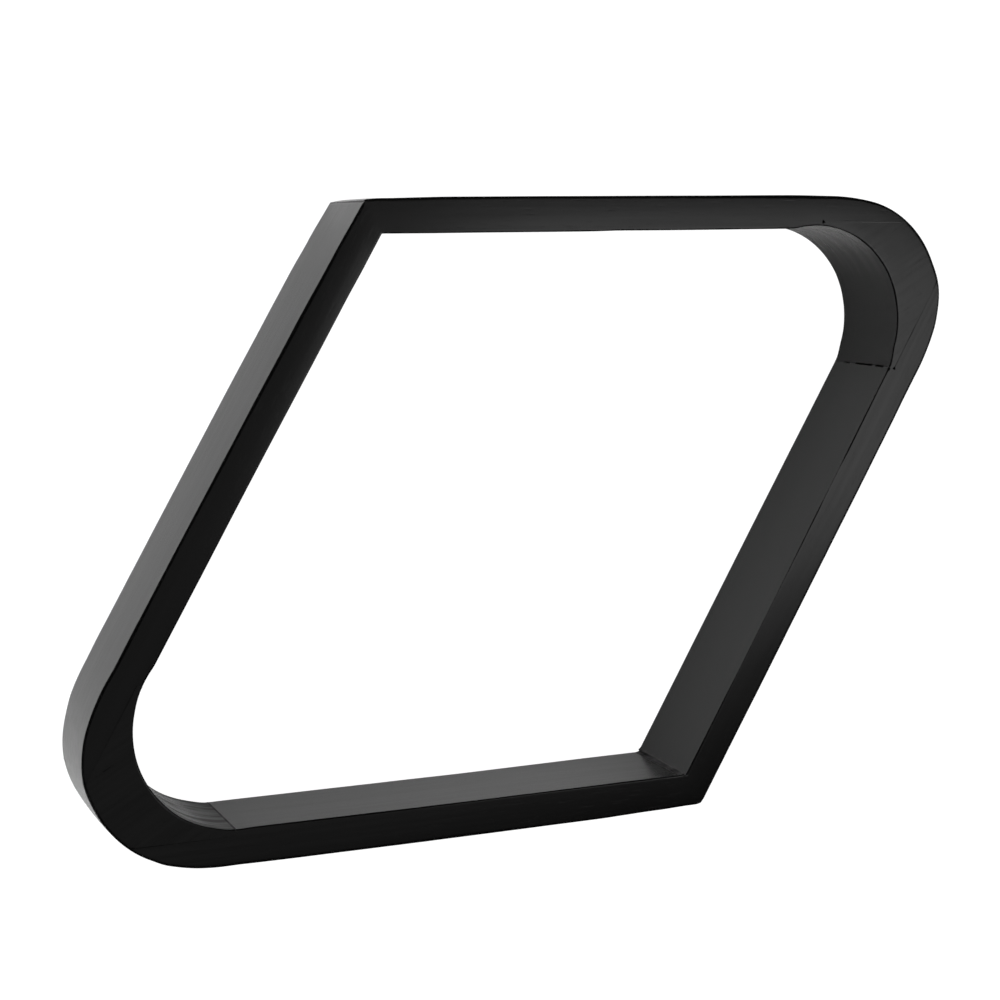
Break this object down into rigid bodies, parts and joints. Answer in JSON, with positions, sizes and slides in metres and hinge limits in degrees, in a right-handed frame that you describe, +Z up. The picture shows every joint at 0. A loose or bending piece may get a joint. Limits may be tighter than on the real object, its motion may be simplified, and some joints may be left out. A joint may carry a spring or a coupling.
{
  "type": "billiards diamond rack",
  "caption": "Flat open rhombus frame of black painted wooden rails, mitred at the wide corners and rounded at the narrow ones, that gathers nine pool balls into a diamond.",
  "frame": {"origin": "centre of the underside of the rack as it lies flat", "axes": "+X along the long diagonal to the front rounded corner, +Y along the short diagonal to the left mitre, +Z up through the rack's height"},
  "size_m": [0.2882, 0.2026, 0.0295],
  "materials": {
    "rail_paint": "satin black paint over straight-grained hardwood",
    "block_paint": "satin black paint over a sawn and sanded hardwood block",
    "dowel_wood": "bare beech"
  },
  "bodies": {
    "root": {"front_left_rail": "rail_paint", "front_right_rail": "rail_paint", "rear_left_rail": "rail_paint", "rear_right_rail": "rail_paint", "front_corner_block": "block_paint", "rear_corner_block": "block_paint", "left_mitre_dowel_upper": "dowel_wood", "left_mitre_dowel_lower": "dowel_wood", "right_mitre_dowel_upper": "dowel_wood", "right_mitre_dowel_lower": "dowel_wood"}
  },
  "joints": []
}
